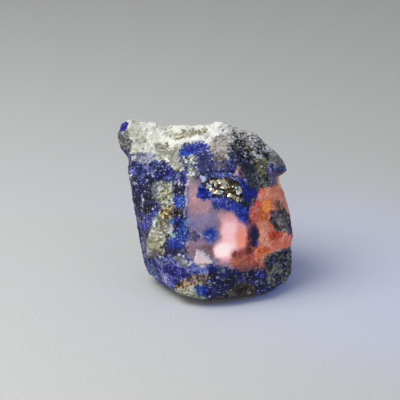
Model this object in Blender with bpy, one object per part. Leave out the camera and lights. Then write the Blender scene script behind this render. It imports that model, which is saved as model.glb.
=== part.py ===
"""A rough afghanite stone, one solid lump about 18 mm wide, resting on a small flat spot.

The frame: X runs to the right across the front, Y to the back, Z up. The origin is on the
surface that the stone rests on, under the middle of its bounding box. Lengths are in
millimetres until the last step, which brings the mesh to metres.

The stone is the convex block of its broken corners, with the hollows that flaked off its faces.
The overhanging horn and the knob are joined to it. Its edges are then worn a little round, its
faces are made uneven, and its underside is cut to the flat spot that it rests on.
"""

import bmesh
import bpy
from mathutils import Euler, Vector, noise

MM = 0.001

# Driving dimensions of the whole stone.
WIDTH = 18.0
DEPTH = 12.8
HEIGHT = 17.4

# Corners of the main lump, as (x, y, z).
RESTING_SPOT = [
    (-1.8, -1.6, -0.3), (0.6, -2.4, -0.3), (3.8, -1.8, -0.3), (4.8, 0.4, -0.3),
    (3.2, 2.6, -0.3), (-0.4, 2.8, -0.3), (-2.2, 0.8, -0.3),
]
FOOT_RIM = [
    (-6.0, 0.0, 0.9), (-4.6, -2.2, 1.2), (-3.3, -4.0, 1.2), (-2.2, -5.2, 1.1), (-0.4, -6.0, 1.1),
    (1.8, -5.7, 1.1), (5.2, -4.6, 1.0), (7.4, -3.3, 0.9), (8.6, -1.9, 1.1),
]
BELLY_EDGE = [
    (-5.9, -1.4, 3.8), (-4.7, -3.8, 4.2), (-1.4, -5.8, 4.6), (2.6, -5.3, 4.0), (5.8, -4.2, 4.2),
    (8.2, -2.4, 4.2),
]
FRONT_FACE = [
    (-7.2, -0.7, 9.2), (-5.6, -3.2, 9.4), (-2.1, -5.2, 10.4), (-1.7, -4.0, 14.2),
    (3.0, -4.4, 11.6), (6.6, -3.2, 8.0), (8.4, -1.6, 7.8),
]
CRUST_FRONT_EDGE = [
    (-7.6, -1.0, 14.0), (-4.6, -2.6, 14.8), (-2.0, -3.2, 15.0), (0.6, -2.6, 15.2), (3.5, -2.0, 15.2),
    (6.1, -1.4, 13.8),
]
RIGHT_SIDE = [
    (9.1, -0.2, 1.6), (9.1, -0.2, 3.4), (9.0, 0.2, 6.4), (8.5, 0.6, 8.8),
]
CREST = [
    (-5.6, 2.6, 16.3), (-2.6, 2.8, 16.5), (0.0, 3.0, 16.5), (1.8, 3.0, 16.7), (3.5, 2.8, 16.3),
    (5.1, 2.6, 16.0), (6.3, 2.2, 14.7),
]
BACK_FACE = [
    (-7.2, 2.8, 12.6), (-6.4, 4.2, 8.2), (-5.0, 4.2, 3.4), (-4.4, 3.4, 1.2), (-2.4, 6.0, 11.6),
    (-0.4, 6.6, 6.8), (-1.4, 5.4, 1.6), (3.2, 6.2, 11.8), (4.4, 6.4, 5.6), (3.8, 5.2, 1.4),
    (7.0, 4.2, 10.6), (8.0, 4.0, 5.2), (6.8, 3.4, 1.2), (1.2, 5.2, 15.0),
]
LUMP = (
    RESTING_SPOT + FOOT_RIM + BELLY_EDGE + FRONT_FACE + CRUST_FRONT_EDGE + RIGHT_SIDE + CREST
    + BACK_FACE
)

# Corners of the horn, the white wedge that overhangs at the upper left.
HORN = [
    (-8.6, 1.0, 17.3), (-8.0, 1.9, 17.4), (-6.8, 2.4, 17.1), (-8.8, 0.2, 16.5), (-8.6, -0.2, 15.5),
    (-8.0, -0.8, 14.7), (-7.4, -1.4, 14.7), (-5.2, -2.0, 15.0), (-7.6, 3.0, 15.2), (-4.0, 2.8, 16.4),
    (-4.6, 0.6, 12.8),
]

# Corners of the knob, the end of the grey speckled shoulder at the upper right.
KNOB = [
    (7.8, 1.8, 13.5), (8.3, 1.3, 12.9), (8.4, 1.0, 12.1), (7.4, -0.6, 12.4), (6.4, -1.4, 13.6),
    (6.3, 2.2, 14.7), (4.4, 0.4, 11.4), (7.0, 3.4, 12.4),
]

# Hollows, each an ellipsoid: centre, radii, and turn in radians.
HOLLOWS = {
    "window": ((4.6, -10.4, 9.0), (7.4, 6.6, 8.4), (0.0, 0.0, 0.25)),
    "under_crust": ((-6.8, -7.6, 11.8), (4.8, 4.8, 3.6), (0.0, 0.0, -0.5)),
    "under_horn": ((-11.0, -1.0, 12.6), (3.4, 4.0, 2.4), (0.0, 0.2, 0.0)),
    "under_knob": ((11.7, -0.6, 10.2), (3.4, 4.6, 3.0), (0.0, 0.0, 0.0)),
    "chip": ((-0.4, -8.4, 5.6), (2.4, 3.2, 1.2), (0.5, 0.3, 0.0)),
    "back_scoop": ((-2.0, 11.8, 9.0), (5.4, 6.2, 4.6), (0.3, 0.0, 0.3)),
    "back_notch": ((8.2, 8.0, 3.0), (3.6, 3.8, 2.4), (0.0, 0.4, 0.0)),
}

# Surface: the grid and passes that wear the edges round, then lumps as {width: height}.
WORN_GRID = 0.36
WORN_PASSES = 3
WORN_STRENGTH = 0.5
LUMPS = {3.4: 0.16, 1.3: 0.10}
LUMP_SEED = (2.0, 9.0)
TRIANGLES = 7000
HOLLOW_SUBDIVISIONS = 5
MERGE = 0.001

STONE_BLUE = (0.06, 0.09, 0.38, 1.0)
STONE_ROUGHNESS = 0.55


def clear_scene():
    for item in list(bpy.data.objects):
        bpy.data.objects.remove(item, do_unlink=True)


def add_object(name, mesh):
    item = bpy.data.objects.new(name, mesh)
    bpy.context.scene.collection.objects.link(item)
    return item


def hull(name, corners):
    """The convex block that just holds a list of corners."""
    shape = bmesh.new()
    for corner in corners:
        shape.verts.new(corner)
    bmesh.ops.convex_hull(shape, input=shape.verts)
    inside = [vertex for vertex in shape.verts if not vertex.link_faces]
    bmesh.ops.delete(shape, geom=inside, context="VERTS")
    bmesh.ops.recalc_face_normals(shape, faces=shape.faces)
    mesh = bpy.data.meshes.new(name)
    shape.to_mesh(mesh)
    shape.free()
    return add_object(name, mesh)


def ellipsoid(name, centre, radii, turn):
    shape = bmesh.new()
    bmesh.ops.create_icosphere(shape, subdivisions=HOLLOW_SUBDIVISIONS, radius=1.0)
    bmesh.ops.scale(shape, vec=radii, verts=shape.verts)
    bmesh.ops.rotate(shape, matrix=Euler(turn).to_matrix(), verts=shape.verts)
    bmesh.ops.translate(shape, vec=centre, verts=shape.verts)
    mesh = bpy.data.meshes.new(name)
    shape.to_mesh(mesh)
    shape.free()
    return add_object(name, mesh)


def apply_modifiers(item):
    evaluated = item.evaluated_get(bpy.context.evaluated_depsgraph_get())
    mesh = bpy.data.meshes.new_from_object(evaluated)
    item.modifiers.clear()
    old = item.data
    item.data = mesh
    bpy.data.meshes.remove(old)


def combine(item, tool, operation):
    """Joins a tool to an item or cuts it away from it, then removes the tool."""
    modifier = item.modifiers.new("combine", "BOOLEAN")
    modifier.operation = operation
    modifier.object = tool
    modifier.solver = "EXACT"
    apply_modifiers(item)
    bpy.data.objects.remove(tool, do_unlink=True)


def wear_edges(stone):
    remesh = stone.modifiers.new("grid", "REMESH")
    remesh.mode = "VOXEL"
    remesh.voxel_size = WORN_GRID
    smooth = stone.modifiers.new("wear", "SMOOTH")
    smooth.factor = WORN_STRENGTH
    smooth.iterations = WORN_PASSES
    apply_modifiers(stone)


def add_lumps(stone):
    """Moves each point along its normal by coarse and finer noise, which is the same each time."""
    moves = []
    for vertex in stone.data.vertices:
        rise = 0.0
        for width, height in LUMPS.items():
            rise += height * noise.noise(vertex.co / width + Vector((*LUMP_SEED, width)))
        moves.append(vertex.normal * rise)
    for vertex, move in zip(stone.data.vertices, moves):
        vertex.co += move


def thin_out(stone):
    thin = stone.modifiers.new("thin", "DECIMATE")
    thin.ratio = TRIANGLES / (2 * len(stone.data.polygons))
    thin.use_collapse_triangulate = True
    apply_modifiers(stone)


def cut_resting_spot(stone):
    """Cuts the underside off at z = 0, which leaves the flat spot that the stone rests on."""
    shape = bmesh.new()
    shape.from_mesh(stone.data)
    everything = shape.verts[:] + shape.edges[:] + shape.faces[:]
    cut = bmesh.ops.bisect_plane(
        shape, geom=everything, dist=MERGE, plane_co=(0, 0, 0), plane_no=(0, 0, 1), clear_inner=True
    )
    rim = [edge for edge in cut["geom_cut"] if isinstance(edge, bmesh.types.BMEdge)]
    bmesh.ops.edgeloop_fill(shape, edges=rim)
    bmesh.ops.dissolve_degenerate(shape, dist=MERGE, edges=shape.edges)
    bmesh.ops.triangulate(shape, faces=shape.faces)
    bmesh.ops.recalc_face_normals(shape, faces=shape.faces)
    shape.to_mesh(stone.data)
    shape.free()


def fit_to_size(stone):
    """Centres the stone over the origin and brings it to its width, depth and height in metres."""
    points = [vertex.co for vertex in stone.data.vertices]
    low = Vector([min(p[axis] for p in points) for axis in range(3)])
    high = Vector([max(p[axis] for p in points) for axis in range(3)])
    middle = Vector(((low.x + high.x) / 2, (low.y + high.y) / 2, low.z))
    span = high - low
    factors = (WIDTH / span.x, DEPTH / span.y, HEIGHT / span.z)
    for vertex in stone.data.vertices:
        place = vertex.co - middle
        vertex.co = [MM * factor * value for factor, value in zip(factors, place)]


def stone_material():
    material = bpy.data.materials.new("afghanite_rock")
    material.use_nodes = True
    shader = material.node_tree.nodes["Principled BSDF"]
    shader.inputs["Base Color"].default_value = STONE_BLUE
    shader.inputs["Roughness"].default_value = STONE_ROUGHNESS
    shader.inputs["Metallic"].default_value = 0.0
    return material


def build_stone():
    stone = hull("stone", LUMP)
    for name, (centre, radii, turn) in HOLLOWS.items():
        combine(stone, ellipsoid(name, centre, radii, turn), "DIFFERENCE")
    combine(stone, hull("horn", HORN), "UNION")
    combine(stone, hull("knob", KNOB), "UNION")
    wear_edges(stone)
    add_lumps(stone)
    thin_out(stone)
    cut_resting_spot(stone)
    fit_to_size(stone)
    stone.data.materials.clear()
    stone.data.materials.append(stone_material())
    stone.data.shade_smooth()
    return stone


clear_scene()
build_stone()
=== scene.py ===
"""Looks of a rough afghanite stone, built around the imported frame.

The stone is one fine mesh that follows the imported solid. Minerals are painted on it by named
zones: some are outlines in the photograph's 400 x 400 frame, seen through the scene's camera,
and some are lumps placed in the stone's own millimetres, for its back, sides and underside. Each
mineral has its colours and a habit, which says how its grains stand out and how it shines.
"""

import math

import bmesh
import bpy
import numpy as np
from mathutils import Matrix, Vector


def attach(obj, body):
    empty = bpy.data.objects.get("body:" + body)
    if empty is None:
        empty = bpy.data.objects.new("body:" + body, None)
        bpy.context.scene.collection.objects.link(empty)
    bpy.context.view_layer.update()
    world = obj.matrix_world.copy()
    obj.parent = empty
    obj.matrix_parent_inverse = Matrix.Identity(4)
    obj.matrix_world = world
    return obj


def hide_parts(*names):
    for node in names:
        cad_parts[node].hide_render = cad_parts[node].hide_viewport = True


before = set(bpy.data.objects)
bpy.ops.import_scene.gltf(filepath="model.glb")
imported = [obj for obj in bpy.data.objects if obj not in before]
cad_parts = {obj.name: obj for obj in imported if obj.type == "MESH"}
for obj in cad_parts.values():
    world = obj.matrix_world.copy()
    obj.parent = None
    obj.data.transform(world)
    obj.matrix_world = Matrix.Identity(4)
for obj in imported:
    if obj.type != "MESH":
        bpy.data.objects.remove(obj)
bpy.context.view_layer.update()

MM = 0.001

# Camera, in the photograph's frame: it looks at AIM from a long way off, a little from above.
FRAME_PIXELS = 400
PIXEL_MM = 0.1034
CAMERA_DISTANCE = 160.0
CAMERA_ELEVATION = math.radians(24.0)
AIM = np.array([-0.66, 0.0, 9.3])

# Mesh of the stone: its grid, which is halved on the front, and the size of its crystal grains.
GRID = 0.172
SMOOTHING = 6
GRAIN = 0.19

# Colours of the minerals as (dark grains, light grains), each in 8-bit sRGB, with their habit and a
# painted glow: emission that stands in for how much ultraviolet light makes them fluoresce and, in
# the pink window, for light shining through the translucent stone.
MINERALS = {
    # Blue afghanite and lazurite.
    "slate_navy": ((10, 18, 74), (100, 116, 184), "granular", 0.0),
    "violet_navy": ((16, 10, 86), (84, 78, 176), "granular", 0.0),
    "deep_indigo": ((16, 14, 62), (66, 62, 136), "granular", 0.0),
    "night": ((5, 6, 24), (62, 66, 100), "granular", 0.0),
    "night_violet": ((14, 8, 40), (72, 64, 110), "granular", 0.0),
    "green_night": ((6, 12, 22), (46, 66, 78), "granular", 0.0),
    "ink": ((8, 10, 32), (78, 80, 116), "granular", 0.0),
    "blue_violet": ((34, 28, 110), (128, 124, 210), "granular", 0.0),
    "vivid_violet": ((48, 42, 160), (120, 116, 226), "granular", 0.0),
    "violet_edge": ((36, 32, 74), (164, 156, 198), "granular", 0.0),
    "violet_field": ((24, 26, 104), (144, 150, 222), "granular", 0.0),
    "violet_deep": ((26, 14, 108), (112, 104, 208), "granular", 0.0),
    "slate_grain": ((24, 42, 106), (146, 164, 214), "granular", 0.0),
    "royal": ((8, 28, 118), (96, 130, 218), "granular", 0.0),
    "royal_vivid": ((4, 16, 120), (60, 92, 210), "soft", 0.0),
    "royal_deep": ((4, 8, 84), (44, 56, 156), "soft", 0.0),
    "royal_soft": ((20, 56, 156), (92, 130, 220), "soft", 0.0),
    "royal_lavender": ((46, 52, 156), (150, 156, 226), "granular", 0.0),
    "lavender": ((104, 108, 176), (200, 202, 240), "granular", 0.0),
    "cerulean": ((28, 72, 156), (130, 172, 226), "granular", 0.0),
    "sky": ((70, 130, 196), (184, 214, 244), "soft", 0.0),
    "teal_blue": ((20, 60, 104), (86, 136, 178), "granular", 0.0),
    "teal": ((26, 70, 90), (90, 140, 146), "soft", 0.0),
    "teal_grey": ((74, 90, 116), (150, 166, 186), "soft", 0.0),
    "indigo_haze": ((34, 34, 84), (104, 104, 160), "soft", 0.0),
    "indigo_brown": ((24, 16, 64), (74, 58, 112), "soft", 0.0),
    "blue_haze": ((112, 118, 168), (176, 180, 212), "glass", 0.05),
    "navy_vivid": ((8, 8, 100), (50, 48, 168), "granular", 0.0),
    "horn_blue": ((28, 20, 110), (70, 66, 176), "soft", 0.0),
    "steel": ((84, 102, 126), (158, 176, 190), "soft", 0.0),
    # Painted highlight: a specular glint, painted as a pale white-lavender patch.
    "glint": ((216, 214, 242), (255, 252, 255), "soft", 0.0),
    # Lilac grains; as the front's ridge lines they also paint highlights on edges.
    "lilac_grain": ((150, 146, 196), (226, 224, 244), "granular", 0.0),
    # White calcite crust and grey-green granular minerals.
    "chalk": ((190, 190, 178), (255, 255, 244), "crust", 0.0),
    "chalk_bright": ((226, 226, 212), (255, 255, 250), "crust", 0.0),
    "chalk_shade": ((160, 164, 146), (226, 228, 212), "crust", 0.0),
    "chalk_lilac": ((96, 98, 122), (206, 208, 222), "crust", 0.0),
    "cream_grey": ((132, 132, 118), (212, 210, 196), "crust", 0.0),
    "olive_streak": ((128, 124, 96), (226, 222, 196), "crust", 0.0),
    "taupe": ((134, 126, 118), (218, 212, 204), "crust", 0.0),
    "taupe_dark": ((92, 82, 78), (176, 168, 158), "gritty", 0.0),
    "horn_grey": ((82, 82, 84), (190, 190, 184), "gritty", 0.0),
    "dusk_purple": ((66, 58, 72), (140, 126, 138), "soft", 0.0),
    # White grains; as the front's spots and lines they also paint glints and highlights.
    "white_grain": ((214, 216, 222), (255, 255, 255), "sparkly", 0.0),
    "sage": ((104, 110, 104), (222, 224, 212), "gritty", 0.0),
    "sage_blue": ((92, 98, 112), (190, 196, 206), "gritty", 0.0),
    "sage_olive": ((66, 66, 46), (206, 202, 168), "sparkly", 0.0),
    "sage_gold": ((104, 84, 44), (244, 224, 170), "sparkly", 0.0),
    "sage_dull": ((104, 98, 80), (192, 186, 164), "gritty", 0.0),
    "sage_green": ((98, 116, 84), (188, 200, 166), "gritty", 0.0),
    "cream_sage": ((132, 130, 106), (232, 230, 206), "gritty", 0.0),
    "cream_oval": ((152, 150, 122), (232, 230, 204), "crust", 0.0),
    "white_patch": ((196, 200, 212), (255, 255, 255), "crust", 0.0),
    "lilac_cream": ((158, 148, 166), (226, 218, 228), "gritty", 0.0),
    "pale_cyan": ((112, 160, 172), (206, 228, 228), "gritty", 0.0),
    "mauve_grey": ((92, 82, 86), (178, 166, 166), "gritty", 0.0),
    "speckle": ((14, 20, 48), (214, 220, 230), "sparkly", 0.0),
    "white_speckle": ((20, 28, 48), (240, 246, 236), "sparkly", 0.0),
    "grey_speckle": ((22, 22, 40), (150, 150, 172), "sparkly", 0.0),
    "brown_night": ((20, 12, 22), (124, 92, 98), "sparkly", 0.0),
    "soot": ((18, 17, 14), (160, 156, 144), "sparkly", 0.0),
    # Near-black specks; as spots on the front they also paint the shade inside small pits.
    "pit": ((8, 7, 6), (34, 30, 26), "gritty", 0.0),
    "shoulder_grey": ((58, 56, 50), (222, 220, 212), "sparkly", 0.0),
    "shoulder_white": ((168, 168, 160), (246, 246, 240), "crust", 0.0),
    "knob_grey": ((110, 108, 98), (192, 190, 180), "gritty", 0.0),
    "olive": ((84, 80, 52), (168, 162, 124), "gritty", 0.0),
    "olive_black": ((34, 32, 26), (150, 146, 122), "sparkly", 0.0),
    "olive_block": ((38, 36, 30), (146, 142, 116), "sparkly", 0.0),
    "olive_cream": ((96, 94, 66), (176, 174, 138), "gritty", 0.0),
    "smoke": ((30, 31, 34), (120, 122, 124), "soft", 0.0),
    "purple_grey": ((86, 78, 104), (168, 152, 176), "soft", 0.0),
    "plum_grey": ((36, 28, 52), (100, 86, 120), "gritty", 0.0),
    "lens_grey": ((100, 100, 112), (172, 170, 180), "soft", 0.0),
    # Rusty, brown and black spots.
    "rust": ((84, 66, 44), (222, 206, 176), "sparkly", 0.0),
    "rust_orange": ((96, 54, 22), (242, 196, 142), "sparkly", 0.0),
    "rust_cream": ((140, 108, 90), (236, 210, 184), "gritty", 0.0),
    "rust_red": ((52, 24, 30), (148, 100, 98), "gritty", 0.0),
    "rosy_brown": ((110, 72, 80), (204, 160, 160), "gritty", 0.0),
    "cream_green": ((128, 126, 106), (226, 224, 202), "gritty", 0.0),
    "umber": ((20, 13, 10), (84, 66, 52), "soft", 0.0),
    "umber_red": ((56, 18, 20), (116, 62, 58), "soft", 0.0),
    "brown_grey": ((74, 54, 46), (160, 132, 118), "gritty", 0.0),
    "taupe_brown": ((74, 60, 50), (172, 152, 134), "gritty", 0.0),
    # Dark bed of the pyrite, which also paints the shade in the gaps between its lumps.
    "brass_bed_and_gap_shade": ((22, 15, 8), (92, 72, 44), "gritty", 0.0),
    # Pink and mauve translucent window.
    "mauve": ((134, 118, 142), (184, 162, 182), "glass", 0.10),
    "beige_grey": ((150, 134, 128), (200, 186, 176), "glass", 0.05),
    "dusty_pink": ((176, 138, 146), (216, 182, 186), "glass", 0.12),
    "rose": ((190, 138, 144), (226, 178, 182), "glass", 0.14),
    "lilac_mauve": ((144, 130, 162), (188, 172, 196), "glass", 0.10),
    "mauve_speckle": ((84, 76, 110), (170, 158, 190), "gritty", 0.0),
    "mauve_rose": ((144, 114, 132), (194, 164, 178), "glass", 0.10),
    "mauve_brown": ((112, 78, 90), (166, 128, 140), "glass", 0.05),
    "mauve_taupe": ((126, 96, 104), (176, 144, 150), "glass", 0.05),
    "shell_pink": ((222, 158, 162), (248, 196, 194), "glass", 0.25),
    "pale_shell": ((248, 192, 186), (255, 216, 208), "glass", 0.40),
    "cream_pink": ((248, 216, 204), (255, 240, 232), "glass", 0.45),
    "salmon": ((228, 140, 118), (255, 176, 152), "glass", 0.32),
    "smoke_pink": ((146, 134, 144), (190, 178, 184), "glass", 0.05),
    # Painted highlight: the pale, slightly glowing colour of a chip facet that catches the light.
    "blade_highlight": ((224, 196, 196), (255, 240, 238), "glass", 0.15),
    "wedge": ((184, 166, 142), (244, 232, 212), "gritty", 0.0),
    "dark_mauve": ((76, 50, 68), (144, 112, 128), "gritty", 0.0),
    # Orange side, which carries a painted glow.
    "apricot": ((196, 108, 74), (240, 164, 130), "fractured", 0.20),
    "apricot_light": ((214, 136, 82), (252, 192, 130), "fractured", 0.25),
    "peach": ((198, 120, 92), (244, 176, 146), "fractured", 0.20),
    "tangerine": ((206, 88, 48), (244, 142, 96), "fractured", 0.25),
    "amber": ((222, 118, 36), (255, 176, 92), "fractured", 0.35),
    "red_orange": ((186, 62, 18), (236, 122, 54), "fractured", 0.25),
    "burnt_orange": ((176, 76, 28), (230, 138, 76), "fractured", 0.22),
    "coral_red": ((198, 66, 46), (240, 122, 90), "fractured", 0.22),
    "coral_pink": ((170, 72, 62), (226, 130, 108), "fractured", 0.18),
    "coral_light": ((202, 100, 74), (242, 154, 120), "fractured", 0.22),
    "coral_brown": ((150, 66, 54), (202, 116, 94), "fractured", 0.15),
    "fire": ((160, 44, 18), (220, 108, 62), "fractured", 0.20),
    "terracotta": ((146, 66, 54), (206, 126, 104), "fractured", 0.15),
    "clay": ((160, 84, 60), (216, 140, 104), "fractured", 0.15),
    "rosy_clay": ((112, 66, 70), (182, 128, 124), "fractured", 0.08),
    "dark_clay": ((84, 24, 18), (164, 84, 60), "fractured", 0.08),
    "brown_orange": ((128, 74, 48), (212, 146, 110), "fractured", 0.12),
    "wine": ((92, 26, 36), (166, 76, 76), "fractured", 0.06),
    "plum": ((72, 28, 52), (132, 72, 98), "glass", 0.03),
    "ink_navy": ((10, 12, 44), (40, 44, 92), "glass", 0.0),
}

# How far a mineral stands out from the rest of the stone, in millimetres.
STEPS = {
    "chalk": 0.12, "chalk_bright": 0.16, "chalk_shade": 0.10, "sage": 0.06, "sage_gold": 0.05,
    "cream_sage": 0.07, "cream_oval": 0.09, "white_patch": 0.08, "rust": 0.05, "cream_green": 0.05,
    "brass_bed_and_gap_shade": -0.14, "ink_navy": -0.04, "pit": -0.10, "blade_highlight": 0.08,
}

# How a mineral's surface behaves: coarse, middle and fine relief in millimetres, roughness,
# contrast between its grains, share of grains painted as pale flashes (painted glints), and
# translucency.
HABITS = {
    "granular": (0.07, 0.08, 0.035, 0.45, 1.1, 0.07, 0.0),
    "sparkly": (0.08, 0.09, 0.045, 0.45, 1.7, 0.10, 0.0),
    "soft": (0.05, 0.04, 0.015, 0.42, 0.8, 0.02, 0.0),
    "gritty": (0.10, 0.09, 0.040, 0.62, 1.2, 0.04, 0.0),
    "crust": (0.20, 0.12, 0.020, 0.80, 0.8, 0.0, 0.1),
    "fractured": (0.06, 0.09, 0.012, 0.30, 0.9, 0.0, 0.6),
    "glass": (0.04, 0.02, 0.0, 0.20, 0.5, 0.0, 1.0),
}

# Habits whose borders run along single grains.
GRAINY_HABITS = ("granular", "sparkly", "gritty", "crust")

# Guests scattered in a host mineral: host, guest, share of the host, and patch width in
# millimetres, where 0 means single grains.
GUESTS = [
    ("slate_navy", "night", 0.20, 0.5),
    ("slate_navy", "violet_navy", 0.16, 0.7),
    ("slate_navy", "lilac_grain", 0.05, 0.0),
    ("deep_indigo", "night", 0.16, 0.4),
    ("night", "lilac_grain", 0.04, 0.0),
    ("night_violet", "lilac_grain", 0.05, 0.0),
    ("ink", "deep_indigo", 0.22, 0.6),
    ("ink", "chalk_lilac", 0.03, 0.0),
    ("blue_violet", "violet_deep", 0.30, 0.4),
    ("violet_field", "violet_deep", 0.30, 0.5),
    ("violet_field", "slate_grain", 0.20, 0.6),
    ("violet_field", "lilac_grain", 0.05, 0.0),
    ("royal", "royal_vivid", 0.30, 0.5),
    ("royal", "cerulean", 0.12, 0.4),
    ("violet_edge", "night", 0.25, 0.3),
    ("sage", "sage_olive", 0.16, 0.3),
    ("sage", "white_grain", 0.05, 0.0),
    ("cream_sage", "white_grain", 0.10, 0.0),
    ("cream_sage", "sage_dull", 0.20, 0.3),
    ("cream_oval", "sage_dull", 0.14, 0.4),
    ("chalk", "chalk_bright", 0.35, 0.9),
    ("chalk", "chalk_shade", 0.22, 0.5),
    ("chalk", "chalk_lilac", 0.03, 0.0),
    ("taupe", "brown_grey", 0.06, 0.0),
    ("taupe", "chalk_shade", 0.20, 0.4),
    ("shoulder_grey", "soot", 0.22, 0.3),
    ("shoulder_grey", "shoulder_white", 0.14, 0.3),
    ("soot", "shoulder_white", 0.06, 0.0),
    ("olive_block", "night", 0.24, 0.4),
    ("olive_block", "olive_cream", 0.14, 0.3),
    ("olive_black", "olive_cream", 0.16, 0.3),
    ("rust", "brown_grey", 0.20, 0.25),
    ("rust", "rosy_brown", 0.14, 0.4),
    ("rust_orange", "pit", 0.08, 0.0),
    ("cream_green", "sage_green", 0.18, 0.4),
    ("taupe_brown", "olive_cream", 0.14, 0.3),
    ("taupe_brown", "umber_red", 0.10, 0.3),
    ("terracotta", "dark_clay", 0.14, 0.4),
    ("terracotta", "clay", 0.25, 0.6),
    ("apricot", "coral_light", 0.22, 0.6),
    ("coral_light", "tangerine", 0.20, 0.5),
    ("umber", "olive_black", 0.16, 0.4),
]


def oval(u, v, across, down, turn=0.0, corners=10):
    """An oval outline in photograph pixels, by its centre, half sizes and turn in degrees."""
    outline = []
    angle = math.radians(turn)
    for i in range(corners):
        a = 2 * math.pi * i / corners
        x = across * math.cos(a)
        y = down * math.sin(a)
        along = x * math.cos(angle) - y * math.sin(angle)
        below = x * math.sin(angle) + y * math.cos(angle)
        outline.append((u + along, v + below))
    return outline


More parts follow.
